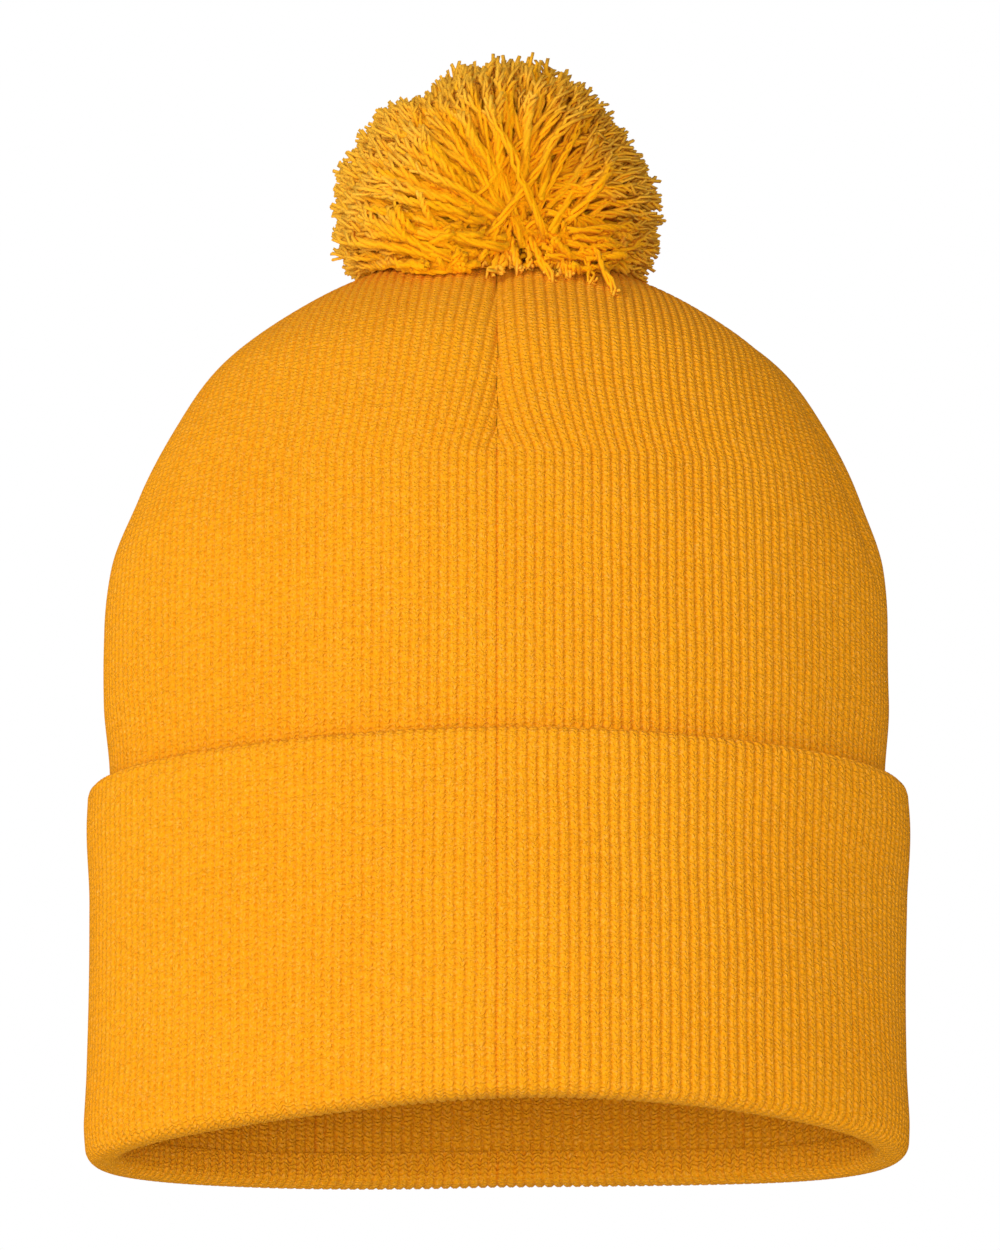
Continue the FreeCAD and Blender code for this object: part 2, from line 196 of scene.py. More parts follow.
def surface(half_width, extra, height, angle):
    """Points and outward normals of a stack of ovals. The first three have one value per row."""
    a = half_width[:, None]
    b = (half_width + extra)[:, None]
    z = height[:, None] + 0 * angle
    points = np.stack([a * np.cos(angle), b * np.sin(angle), z], 2)
    da = np.gradient(half_width)[:, None]
    db = np.gradient(half_width + extra)[:, None]
    dz = np.gradient(height)[:, None]
    round_x = -a * np.sin(angle)
    round_y = b * np.cos(angle)
    up_x = da * np.cos(angle)
    up_y = db * np.sin(angle)
    normals = np.stack([round_y * dz, -round_x * dz, round_x * up_y - round_y * up_x], 2)
    normals /= np.linalg.norm(normals, axis=2, keepdims=True) + 1e-12
    return points, normals


def rib_profile(u):
    """Depth of the rib surface below its crest, from 0 to 1: broad ribs with a faint middle line."""
    across = np.abs(u - np.round(u)) * 2
    groove = 1 - smooth(0.0, 0.60, across)
    middle = 0.12 * smooth(0.62, 1.0, across)
    return groove + middle


# ---------------------------------------------------------------------------
# Knit pieces
# ---------------------------------------------------------------------------


def dome_rows(wall, dome, bottom, top, spacing, coarse_below):
    """Half width, extra depth and height of each row from the bottom edge up to the crown's middle."""
    turning = max(coarse_below, bottom)
    coarse = np.linspace(bottom, turning, round((turning - bottom) / spacing / 2) + 1)[:-1]
    fine = np.linspace(turning, DOME_START, round((DOME_START - turning) / spacing) + 1)[:-1]
    rows = [(wall + (dome - wall) * (z / DOME_START) ** 2, EXTRA, z) for z in (*coarse, *fine)]
    rise = top - DOME_START
    count = round((dome + EXTRA / 2 + rise) / 2 * math.pi / 2 / spacing)
    for i in range(count):
        t = math.radians(88) * i / (count - 1)
        rows.append((dome * math.cos(t), EXTRA * math.cos(t), DOME_START + rise * math.sin(t)))
    return np.array(rows).T


def crown_fullness(angle, height):
    """How far the shell bulges past a plain dome: above the cuff, and where it turns in to the crown."""
    side = np.cos(angle) ** 2
    wall = smooth(0.082, 0.100, height) * (1 - smooth(0.130, 0.146, height))
    shoulder = np.exp(-(((height - 0.176) / 0.010) ** 2))
    return (1.3 * wall * side + 1.1 * shoulder) * MM


def rim_shift(angle, height):
    """Change in height of the soft rim and cuff, which sag at the sides, more so on the viewer's left."""
    low = 1 - smooth(0.0, 0.07, height)
    sag = np.abs(np.cos(angle)) ** 1.5 * (1.6 + 2.4 * low)
    tilt = np.cos(angle) * (0.3 + 0.9 * np.maximum(0, -np.sin(angle))) * 2.0 * low
    return (0.6 - sag + tilt) * MM


def wale_places(wales, run, spread, start, short_dart):
    """Distance of each wale from the dart that takes in less, row by row, before either dart cuts it off.

    The wales lean towards that dart as it takes the knit in, most of all the ones beside it.
    """
    most, settling = (9 * MM, 18 * MM) if short_dart else (14 * MM, 45 * MM)
    above = np.maximum(run - start, 0)
    intake = most * (1 - np.exp(-above / settling))
    share = 0.4 + 0.6 * np.exp(-wales / 12)
    return spread * wales[None, :] - intake[:, None] * share[None, :]


def path_length(across, up):
    """Distance along a path, from its first point."""
    return np.concatenate([[0], np.cumsum(np.hypot(np.diff(across), np.diff(up)))])


def round_tangent(angle):
    """Level direction round the oval."""
    return np.stack([-np.sin(angle), np.cos(angle), 0 * angle], 2)


def dart_valley(distances, ends, height):
    """Depth of the folds where the knit dips into the darts at its two edges."""
    valley = np.zeros_like(distances[0])
    for distance, end in zip(distances, ends):
        ramp = smooth(end * MM - 6 * MM, end * MM + 10 * MM, height)[:, None]
        dip = 1.0 * MM * np.exp(-((distance / (6 * MM)) ** 2))
        crease = 1.1 * MM * np.exp(-distance / (1.3 * MM))
        valley = np.maximum(valley, ramp * (dip + crease))
    return valley


def merge_cut_wales(index, first, last):
    """Joins the points past a gore's two edges in each row, so that a cut-off wale leaves no faces."""
    columns = index.shape[1]
    low = np.minimum(np.ceil(first * RIB_STEPS - 1e-9).astype(int), columns - 2)[:, None]
    high = np.maximum(np.floor(last * RIB_STEPS + 1e-9).astype(int), 1)[:, None]
    place = np.arange(columns)[None, :]
    merged = np.where(place < low, (low - 1).clip(0), place)
    merged = np.where(place > high, (high + 1).clip(max=columns - 1), merged)
    return np.take_along_axis(index, merged, axis=1)


def make_gore(name, sizes, ribs, darts, facing, seed, small_side):
    """A panel of knit between two darts, which cut its wales off as the crown narrows.

    The dart on the small side takes in little, and the other takes the rest. Facing is 1 for knit
    whose good side is outside, and -1 for the lining.
    """
    wall, dome, bottom, top, spacing, coarse_below = sizes
    half_width, extra, height = dome_rows(wall, dome, bottom, top, spacing, coarse_below)
    (left_bearing, left_end), (right_bearing, right_end) = darts
    left = round(bearing_share(wall, left_bearing) * ribs)
    right = round(bearing_share(wall, right_bearing) * ribs)
    count = right - left
    wales = np.arange(count * RIB_STEPS + 1) / RIB_STEPS

    length = oval_table(wall)[1][-1] * count / ribs * half_width / wall
    spread = length[0] / count
    run = path_length(half_width + extra / 2, height)
    start = np.interp((left_end if small_side == "left" else right_end) * MM, height, run)
    places = wale_places(wales, run, spread, start, small_side == "left")
    places = np.maximum.accumulate(places, axis=1)
    full_row = smooth(DOME_START - 4 * MM, DOME_START + 14 * MM, height)[:, None]
    places = (1 - full_row) * wales[None, :] / count * length[:, None] + full_row * places
    first = np.array([np.interp(0, row, wales) for row in places])
    last = np.array([np.interp(end, row, wales) for end, row in zip(length, places)])
    last = np.maximum(last, first + 0.02)
    n = np.clip(wales[None, :], first[:, None], last[:, None])
    share = np.clip(places / length[:, None], 0, 1)

    if small_side == "right":
        n = count - n[:, ::-1]
        share = 1 - share[:, ::-1]
        first, last = count - last, count - first
    u = left + n
    angle = oval_angle(wall, (left + share * count) / ribs)
    points, normals = surface(half_width, extra, height, angle)

    from_left = share * length[:, None]
    from_right = (1 - share) * length[:, None]
    valley = dart_valley((from_left, from_right), (left_end, right_end), height)
    z = height[:, None]
    open_wall = smooth(CUFF_TOP + 4 * MM, CUFF_TOP + 30 * MM, z)
    closing = 1 - smooth(CROWN_TOP - 15 * MM, CROWN_TOP - 2 * MM, z)
    soft = 0.9 * MM * open_wall * waves(angle, z * 22, seed) * closing
    full = crown_fullness(angle, z) if facing > 0 else 0
    v = run[:, None] / COURSE_PITCH + 0.25 * waves(angle * 3, z * 60, seed + 1)
    fade = smooth(0, 6 * MM, half_width[:, None])
    uneven = 1 + 0.25 * waves(angle * 7, z * 90, seed + 2)
    depth = RIB_DEPTH * fade * rib_profile(u) * uneven
    offset = (soft + full - valley) - facing * depth
    points = points + normals * offset[:, :, None]
    wander = 0.20 * MM * waves(angle * 5, z * 70, seed + 3, low=1, high=4)
    wander = wander * smooth(0, 8 * MM, from_left) * smooth(0, 8 * MM, from_right)
    points = points + round_tangent(angle) * wander[:, :, None]
    points[:, :, 2] += rim_shift(angle, z) * (1 - smooth(0.03, 0.08, z))

    index = merge_cut_wales(np.arange(u.size).reshape(u.shape), first, last)
    faces = grid_faces(index)
    if facing < 0:
        faces = flip(faces)
    uv = np.stack([u, v], 2)
    return tidy_mesh(name, points.reshape(-1, 3), faces, uv.reshape(-1, 2))


def flip(faces):
    """The same faces, seen from the other side."""
    out = faces.copy()
    three = faces[:, 3] < 0
    out[three, 0], out[three, 2] = faces[three, 2], faces[three, 0]
    four = ~three
    out[four] = faces[four][:, ::-1]
    return out


def tidy_mesh(name, points, faces, uv):
    """Leaves out the points that no face uses."""
    used = np.unique(faces[faces >= 0])
    number = np.full(len(points) + 1, -1)
    number[used] = np.arange(len(used))
    return mesh_from(name, points[used], number[faces], uv[used])


def cuff_path():
    """The cuff's section as half widths and heights: inside the rim, round it, up, over and down behind."""
    roll = 3.1 * MM
    top_bend = (FACE_OUT - BACKING_IN) / 2
    inner = LINING_IN - 0.4 * MM
    points = [(inner, LAYER_BOTTOM + 3 * MM), (inner, LAYER_BOTTOM + 1 * MM)]
    points += arc_points(inner + roll, roll, roll, 180, 270, 6)
    points += arc_points(FACE_OUT - roll, roll, roll, 270, 360, 6)
    rise = CUFF_TOP - top_bend - roll
    steps = round(rise / COURSE_PITCH)
    for i in range(1, steps):
        points.append((FACE_OUT, roll + rise * i / steps))
    points += arc_points(FACE_OUT - top_bend, CUFF_TOP - top_bend, top_bend, 0, 180, 7)
    fall = CUFF_TOP - top_bend - LAYER_BOTTOM
    steps = round(fall / COURSE_PITCH / 2)
    for i in range(1, steps + 1):
        points.append((BACKING_IN, CUFF_TOP - top_bend - fall * i / steps))
    return np.array(points)


def arc_points(centre_x, centre_z, radius, start, end, steps):
    """Points of an arc, whose start and end are in degrees."""
    angles = np.radians(np.linspace(start, end, steps + 1))
    return [(centre_x + radius * math.cos(a), centre_z + radius * math.sin(a)) for a in angles]


def make_cuff_panel(name, left, right):
    """A share of the turned-up cuff: one folded sheet from inside the rim to behind the face."""
    path = cuff_path()
    half_width, height = path[:, 0], path[:, 1]
    column = left + np.arange((right - left) * RIB_STEPS + 1) / RIB_STEPS
    angle = oval_angle(FACE_OUT, column / RIBS)[None, :] + 0 * height[:, None]
    points, normals = surface(half_width, np.full(len(path), EXTRA), height, angle)
    run = path_length(half_width, height)
    z = height[:, None]
    outside = smooth(BACKING_IN, FACE_OUT, half_width)[:, None] * smooth(0, 10 * MM, z)
    loose = 0.5 + 0.5 * smooth(0.03, 0.08, z)
    lean = 0.9 * MM * waves(angle, z * 25, 41, low=2, high=5) * outside * loose
    near_rim = 1 - smooth(0.0, 0.02, z)
    flare = 1.2 * smooth(0.055, 0.075, z) + 0.6 * near_rim
    offset = lean + np.cos(angle) ** 2 * outside * flare * MM
    u = column[None, :] + 0 * z
    sway = 0.10 * waves(angle * 4, z * 90, 7, low=1, high=4)
    v = run[:, None] / COURSE_PITCH + 0.3 * waves(angle * 2, z * 40, 9)
    points = points + normals * (offset - RIB_DEPTH * rib_profile(u))[:, :, None]
    points = points + round_tangent(angle) * (sway * RIB_PITCH)[:, :, None]
    points[:, :, 2] += 0.9 * MM * waves(angle, 0 * z, 23, low=2, high=4) * smooth(0.05, 0.08, z)
    points[:, :, 2] += 0.4 * MM * waves(angle, 0 * z, 29, low=2, high=5) * near_rim
    points[:, :, 2] += rim_shift(angle, z)
    index = np.arange(u.size).reshape(u.shape)
    uv = np.stack([u, v], 2)
    return mesh_from(name, points.reshape(-1, 3), grid_faces(index), uv.reshape(-1, 2))


# ---------------------------------------------------------------------------
# Materials
# ---------------------------------------------------------------------------


class Nodes:
    """Short ways to add and join shader nodes."""

    def __init__(self, name):
        self.material = bpy.data.materials.new(name)
        self.material.use_nodes = True
        self.tree = self.material.node_tree
        self.shader = self.tree.nodes["Principled BSDF"]

    def add(self, kind, **settings):
        node = self.tree.nodes.new(kind)
        for key, value in settings.items():
            setattr(node, key, value)
        return node

    def join(self, source, target):
        if isinstance(source, (int, float)):
            target.default_value = source
        else:
            self.tree.links.new(source, target)

    def math(self, operation, a, b=0.0, clamp=False):
        node = self.add("ShaderNodeMath", operation=operation, use_clamp=clamp)
        self.join(a, node.inputs[0])
        self.join(b, node.inputs[1])
        return node.outputs[0]

    def step(self, low, high, value, out_low=0.0, out_high=1.0):
        node = self.add("ShaderNodeMapRange", interpolation_type="SMOOTHSTEP")
        self.join(value, node.inputs["Value"])
        node.inputs["From Min"].default_value = low
        node.inputs["From Max"].default_value = high
        node.inputs["To Min"].default_value = out_low
        node.inputs["To Max"].default_value = out_high
        return node.outputs[0]

    def noise(self, scale, detail=2.0):
        node = self.add("ShaderNodeTexNoise")
        node.inputs["Scale"].default_value = scale
        node.inputs["Detail"].default_value = detail
        place = self.add("ShaderNodeTexCoord").outputs["Object"]
        self.join(place, node.inputs["Vector"])
        return node.outputs[0]

    def mix(self, amount, a, b):
        node = self.add("ShaderNodeMix", data_type="RGBA")
        self.join(amount, node.inputs[0])
        for value, socket in ((a, node.inputs[6]), (b, node.inputs[7])):
            if isinstance(value, tuple):
                socket.default_value = (*value, 1)
            else:
                self.join(value, socket)
        return node.outputs[2]

    def bump(self, height, distance):
        node = self.add("ShaderNodeBump")
        node.inputs["Strength"].default_value = 1.0
        node.inputs["Distance"].default_value = distance
        self.join(height, node.inputs["Height"])
        self.join(node.outputs[0], self.shader.inputs["Normal"])

    def wave(self, turn):
        """A sine wave of turn, from 0 to 1."""
        out = self.math("MULTIPLY_ADD", self.math("SINE", turn), 0.5)
        out.node.inputs[2].default_value = 0.5
        return out

    def cloth(self, roughness, sheen, sheen_tint):
        """The plain values of a matt, slightly fuzzy fibre."""
        shader = self.shader
        shader.inputs["Roughness"].default_value = roughness
        shader.inputs["Specular IOR Level"].default_value = 0.08
        shader.inputs["Sheen Weight"].default_value = sheen
        shader.inputs["Sheen Roughness"].default_value = 0.4
        shader.inputs["Sheen Tint"].default_value = (*sheen_tint, 1)


YARN = (0.90, 0.345, 0.004)
# painted highlight on the knit's stitch legs; on the tie it is a paler tone of the yarn itself
YARN_HIGHLIGHT_AND_PALE_TONE = (0.95, 0.40, 0.025)
# painted shade in the knit's grooves and stitch gaps and towards a yarn's root; also the knit's own uneven
# deeper tone, and the seam thread's colour
YARN_SHADE_AND_DEEP_TONE = (0.82, 0.265, 0.001)
YARN_FUZZ = (0.96, 0.45, 0.07)
YARN_SHEEN = (1.0, 0.55, 0.08)


def knit_material(name, yarn, light, shade_and_tone_colour, seed):
    """Rib knit: two slanting legs to each stitch, with a painted highlight on the legs, painted shade down
    the grooves and in the stitch gaps there, and soft unevenness.
    """
    n = Nodes(name)
    coords = n.add("ShaderNodeUVMap", uv_map="knit").outputs[0]
    split = n.add("ShaderNodeSeparateXYZ")
    n.join(coords, split.inputs[0])
    u = n.math("ADD", split.outputs[0], n.step(0.2, 0.8, n.noise(650, 2.0), -0.13, 0.13))
    v = n.math("ADD", split.outputs[1], n.step(0.2, 0.8, n.noise(480, 2.0), -0.45, 0.45))
    cell = n.math("FRACT", u)
    across = n.math("MULTIPLY", n.math("ABSOLUTE", n.math("SUBTRACT", cell, 0.5)), 2.0)
    phase = n.math("SUBTRACT", v, n.math("MULTIPLY", across, 0.62))
    turn = n.math("MULTIPLY", phase, 2 * math.pi)
    leg = n.wave(turn)
    centre = n.step(0.0, 0.16, across)
    groove = n.step(0.62, 0.98, across)
    gap = n.step(0.45, 1.0, n.wave(n.math("ADD", turn, 2.4)))
    dots = n.math("MULTIPLY", groove, gap)

    fine = n.noise(2600, 2.0)
    mottle = n.noise(420, 2.0)
    broad = n.noise(28, 2.0)
    per_rib = n.add("ShaderNodeTexWhiteNoise", noise_dimensions="1D")
    n.join(n.math("ADD", n.math("FLOOR", u), float(seed)), per_rib.inputs["W"])

    # painted highlight: paler colour on the crest of each stitch leg, none on the rib's faint middle line,
    # broken up by mottling
    painted_highlight_amount = n.math("MULTIPLY", leg, centre)
    painted_highlight_amount = n.math("MULTIPLY", painted_highlight_amount, n.step(0.3, 0.7, mottle, 0.35, 1.0))
    colour = n.mix(n.math("MULTIPLY", painted_highlight_amount, 0.6), yarn, light)
    # painted shade: darker colour down each groove and darker still in the stitch gaps there; the rib-to-rib
    # and patchy noise added next is the yarn's own uneven tone
    shade_and_tone_amount = n.math("MULTIPLY_ADD", groove, 0.30)
    n.join(n.math("MULTIPLY", dots, 0.50), shade_and_tone_amount.node.inputs[2])
    uneven = n.math("MULTIPLY_ADD", per_rib.outputs[0], 0.14)
    n.join(n.step(0.35, 0.65, broad, -0.07, 0.10), uneven.node.inputs[2])
    shade_and_tone_amount = n.math("ADD", shade_and_tone_amount, uneven)
    shade_and_tone_amount = n.math("ADD", shade_and_tone_amount, n.step(0.3, 0.7, fine, -0.12, 0.14), clamp=True)
    colour = n.mix(shade_and_tone_amount, colour, shade_and_tone_colour)
    fuzz = n.step(0.52, 0.72, n.noise(1700, 3.0))
    colour = n.mix(n.math("MULTIPLY", fuzz, 0.5), colour, YARN_FUZZ)
    n.join(colour, n.shader.inputs["Base Color"])

    height = n.math("MULTIPLY", leg, n.math("SUBTRACT", 1.0, n.math("MULTIPLY", groove, 0.6)))
    height = n.math("ADD", height, n.math("MULTIPLY", centre, 0.35))
    height = n.math("SUBTRACT", height, n.math("MULTIPLY", dots, 0.5))
    height = n.math("ADD", height, n.math("MULTIPLY", fine, 0.45))
    height = n.math("ADD", height, n.math("MULTIPLY", mottle, 0.3))
    n.bump(height, 0.22 * MM)
    n.cloth(0.9, 0.12, YARN_SHEEN)
    return n.material


def yarn_material(name, yarn, light, shade_and_tone_colour):
    """Loose plied yarn, its colour deepened by painted shade towards its root, and paler at its cut end."""
    n = Nodes(name)
    coords = n.add("ShaderNodeUVMap", uv_map="knit").outputs[0]
    split = n.add("ShaderNodeSeparateXYZ")
    n.join(coords, split.inputs[0])
    tone, along = split.outputs[0], split.outputs[1]
    fine = n.noise(3000, 2.0)
    lumps = n.noise(500, 2.0)
    # painted shade: the colour deepens towards the root, where the strands lie deep inside the pompom
    root = n.step(0.35, 0.95, along)
    amount = n.math("MULTIPLY", root, n.step(0.3, 0.75, lumps, 0.45, 1.0))
    colour = n.mix(amount, shade_and_tone_colour, yarn)
    tip = n.math("MULTIPLY", n.step(0.80, 1.0, along), 0.45)
    paler = n.math("ADD", tip, n.math("MULTIPLY", tone, 0.35))
    colour = n.mix(n.math("MULTIPLY", paler, root), colour, light)
    n.join(colour, n.shader.inputs["Base Color"])
    height = n.math("ADD", fine, n.math("MULTIPLY", lumps, 0.6))
    n.bump(height, 0.18 * MM)
    n.cloth(0.9, 0.2, YARN_SHEEN)
    return n.material


def satin_material():
    """Blank woven satin with a fine cross weave."""
    n = Nodes("label_satin")
    coords = n.add("ShaderNodeTexCoord").outputs["Object"]
    wave = n.add("ShaderNodeTexWave", bands_direction="Z")
    wave.inputs["Scale"].default_value = 900
    wave.inputs["Distortion"].default_value = 0.3
    n.join(coords, wave.inputs["Vector"])
    grain = n.noise(700, 3.0)
    colour = n.mix(n.math("MULTIPLY", grain, 0.5), (0.84, 0.81, 0.75), (0.72, 0.68, 0.60))
    n.join(colour, n.shader.inputs["Base Color"])
    n.bump(wave.outputs[1], 0.05 * MM)
    n.cloth(0.45, 0.2, (1, 1, 1))
    return n.material


knit_yarn = knit_material("knit", YARN, YARN_HIGHLIGHT_AND_PALE_TONE, YARN_SHADE_AND_DEEP_TONE, 3)
lining_yarn = knit_material("lining_knit", YARN, YARN_HIGHLIGHT_AND_PALE_TONE, YARN_SHADE_AND_DEEP_TONE, 11)
# the third colour is the painted shade towards the strands' roots
pompom_yarn = yarn_material("pompom_yarn", (1.0, 0.45, 0.004), (1.0, 0.52, 0.05), (1.0, 0.42, 0.002))
tie_yarn = yarn_material("tie_yarn", YARN, YARN_HIGHLIGHT_AND_PALE_TONE, YARN_SHADE_AND_DEEP_TONE)
seam_yarn = yarn_material("seam_thread", YARN_SHADE_AND_DEEP_TONE, YARN, YARN_SHADE_AND_DEEP_TONE)
label_satin = satin_material()
label_thread = yarn_material("label_thread", (0.62, 0.60, 0.54), (0.75, 0.73, 0.68), (0.5, 0.48, 0.43))


def finish_piece(obj, body, material, replaced=()):
    """Gives a piece its material and body, and hides the CAD nodes that it stands for."""
    obj.data.materials.append(material)
    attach(obj, body)
    if replaced:
        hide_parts(*replaced)
    return obj


# ---------------------------------------------------------------------------
# Build the knit
# ---------------------------------------------------------------------------

CORNER_NAMES = ["front_right", "back_right", "back_left", "front_left"]
SIDE_NAMES = ["front", "right", "back", "left"]


def dart_pairs(darts):
    """Neighbouring darts, going round from the front to the right."""
    pairs = []
    for i, (bearing, end) in enumerate(darts):
        next_bearing, next_end = darts[(i + 1) % len(darts)]
        if next_bearing < bearing:
            next_bearing += 360
        pairs.append(((bearing, end), (next_bearing, next_end)))
    return pairs


def knit_outer_shell():
    """Four gores of the outer layer, between its four darts."""
    sizes = (SHELL_OUT, SHELL_OUT, LAYER_BOTTOM, CROWN_TOP, COURSE_PITCH, CUFF_TOP - 6 * MM)
    for i, pair in enumerate(dart_pairs(SHELL_DARTS)):
        small_side = "left" if i % 2 == 0 else "right"
        gore = make_gore(f"shell_gore_{CORNER_NAMES[i]}", sizes, RIBS, pair, 1, 60, small_side)
        finish_piece(gore, "hat", knit_yarn, ["outer_shell"])
        declare_panel(gore)


def knit_lining():
    """Four gores of the inner layer, whose good side faces the head."""
    sizes = (LINING_IN, LINING_DOME, LAYER_BOTTOM, LINING_TOP, COURSE_PITCH * 2, 0)
    names = ["right", "back", "left", "front"]
    for i, pair in enumerate(dart_pairs(LINING_DARTS)):
        small_side = "left" if i % 2 == 0 else "right"
        gore = make_gore(f"lining_gore_{names[i]}", sizes, LINING_RIBS, pair, -1, 80, small_side)
        finish_piece(gore, "hat", lining_yarn, ["lining"])
        declare_panel(gore)


def knit_cuff():
    """The turned-up cuff, in four panels."""
    edges = [round(RIBS * share) for share in (0, 0.25, 0.5, 0.75, 1)]
    for i, name in enumerate(["back_right", "back_left", "front_left", "front_right"]):
        panel = make_cuff_panel(f"cuff_{name}", edges[i], edges[i + 1])
        finish_piece(panel, "cuff", knit_yarn, ["cuff_face", "cuff_backing"])
        declare_panel(panel)


def declare_panel(panel):
    """Works out the flat size and area that a panel's own knit coordinates give, in wales and courses, and
    leaves them unused.
    """
    uv = np.zeros(len(panel.data.loops) * 2, np.float32)
    panel.data.uv_layers["knit"].data.foreach_get("uv", uv)
    uv = uv.reshape(-1, 2)
    size = (uv.max(0) - uv.min(0)) * (RIB_PITCH, COURSE_PITCH)
    area = flat_area(panel.data, uv * (RIB_PITCH, COURSE_PITCH))
    area = min(area, size[0] * size[1])


def flat_area(mesh, flat):
    """Area of the mesh's faces laid flat in its knit coordinates."""
    starts = np.zeros(len(mesh.polygons), np.int32)
    totals = np.zeros(len(mesh.polygons), np.int32)
    mesh.polygons.foreach_get("loop_start", starts)
    mesh.polygons.foreach_get("loop_total", totals)
    area = 0
    for corners in (3, 4):
        start = starts[totals == corners]
        x = np.stack([flat[start + k, 0] for k in range(corners)], 1)
        y = np.stack([flat[start + k, 1] for k in range(corners)], 1)
        area += np.abs((x * np.roll(y, -1, 1) - np.roll(x, -1, 1) * y).sum(1)).sum() / 2
    return area


knit_outer_shell()
knit_lining()
knit_cuff()


# ---------------------------------------------------------------------------
# Yarn tubes
# ---------------------------------------------------------------------------


def cross_directions(paths):
    """The direction of each path at each point, and two directions across it."""
    tangent = np.gradient(paths, axis=1)
    tangent /= np.linalg.norm(tangent, axis=2, keepdims=True) + 1e-12
    lean = np.abs(tangent.mean(1))
    reference = np.eye(3)[np.argmin(lean, axis=1)]
    side = np.cross(tangent, reference[:, None, :])
    side /= np.linalg.norm(side, axis=2, keepdims=True) + 1e-12
    return tangent, side, np.cross(tangent, side)


def twist_plies(paths, plies, offset, turns, phase):
    """Splits each yarn into plies that wind round it. offset and turns have one value per yarn and point."""
    side, other = cross_directions(paths)[1:]
    strands = []
    for ply in range(plies):
        turn = (turns + phase[:, None] + ply / plies) * 2 * math.pi
        around = np.cos(turn)[:, :, None] * side + np.sin(turn)[:, :, None] * other
        strands.append(paths + around * offset[:, :, None])
    return np.concatenate(strands)


def yarn_tubes(name, paths, radius, tone, sides=4, along=None):
    """Tubes as one mesh. paths is (yarns, points, 3) and radius is (yarns, points)."""
    yarns, steps = paths.shape[:2]
    tangent, side, other = cross_directions(paths)
    turn = np.arange(sides) * 2 * math.pi / sides + np.zeros((steps, 1))
    circle_a = np.cos(turn)[None, :, :, None]
    circle_b = np.sin(turn)[None, :, :, None]
    reach = radius[:, :, None, None]
    outward = circle_a * side[:, :, None, :] + circle_b * other[:, :, None, :]
    ring = paths[:, :, None, :] + reach * outward
    count = yarns * steps * sides
    index = np.arange(count).reshape(yarns, steps, sides)
    following = np.roll(index, -1, axis=2)
    quads = np.stack([index[:, :-1], following[:, :-1], following[:, 1:], index[:, 1:]], -1)
    tip_number = count + np.arange(yarns)
    root_number = tip_number + yarns
    tips = paths[:, -1] + tangent[:, -1] * radius[:, -1:] * 0.5
    roots = paths[:, 0]
    tip_number = np.repeat(tip_number[:, None], sides, 1)
    root_number = np.repeat(root_number[:, None], sides, 1)
    tip_faces = np.stack([index[:, -1], following[:, -1], tip_number], -1).reshape(-1, 3)
    root_faces = np.stack([following[:, 0], index[:, 0], root_number], -1).reshape(-1, 3)
    faces = np.concatenate([quads.reshape(-1, 4), fill_corner(np.concatenate([tip_faces, root_faces]))])
    points = np.concatenate([ring.reshape(-1, 3), tips, roots])
    if along is None:
        along = np.linspace(0, 1, steps)[None, :] + np.zeros((yarns, 1))
    u = np.broadcast_to(tone[:, None, None], ring.shape[:3]).ravel()
    v = np.broadcast_to(along[:, :, None], ring.shape[:3]).ravel()
    u = np.concatenate([u, tone, tone])
    v = np.concatenate([v, along[:, -1], along[:, 0]])
    return mesh_from(name, points, faces, np.stack([u, v], 1))


def curve_between(start, middle, end, steps):
    """Smooth paths from start to end, pulled towards middle. Each is (yarns, 3)."""
    t = np.linspace(0, 1, steps)[None, :, None]
    pull = 2 * t * (1 - t) * middle[:, None, :]
    return (1 - t) ** 2 * start[:, None, :] + pull + t**2 * end[:, None, :]


# ---------------------------------------------------------------------------
# Pompom
# ---------------------------------------------------------------------------

PILE_WIDE = (pile_high.x - pile_low.x) / 2
BELLY = pile_low.z + 5 * MM
POMPOM_MIDDLE = np.array([0, 0, BELLY])
PLIES = 3

# the way that the clear cone between the strands points
PARTING = np.array([0.15, -0.97, -0.12])
PARTING /= np.linalg.norm(PARTING)


def crown_height_at(x, y):
    """Height of the crown's surface under a point."""
    reach = (x / SHELL_OUT) ** 2 + (y / (SHELL_OUT + EXTRA)) ** 2
    return DOME_START + (CROWN_TOP - DOME_START) * np.sqrt(np.maximum(1 - reach, 0))


def sphere_directions(count, rng):
    """Evenly spread directions, slightly shuffled."""
    i = np.arange(count) + 0.5
    z = 1 - 2 * i / count
    turn = i * math.pi * (3 - math.sqrt(5))
    flat = np.sqrt(1 - z * z)
    directions = np.stack([flat * np.cos(turn), flat * np.sin(turn), z], 1)
    directions += rng.normal(0, 0.03, directions.shape)
    return directions / np.linalg.norm(directions, axis=1, keepdims=True)


def part_in_front(direction, opening):
    """Pushes the strands aside from the parting, which leaves a clear cone of a stated half angle."""
    facing = np.clip(direction @ PARTING, -1, 1)
    angle = np.arccos(facing)
    aside = direction - facing[:, None] * PARTING
    aside /= np.linalg.norm(aside, axis=1, keepdims=True) + 1e-9
    pushed = math.radians(opening) + angle * (math.pi - math.radians(opening)) / math.pi
    return np.cos(pushed)[:, None] * PARTING + np.sin(pushed)[:, None] * aside


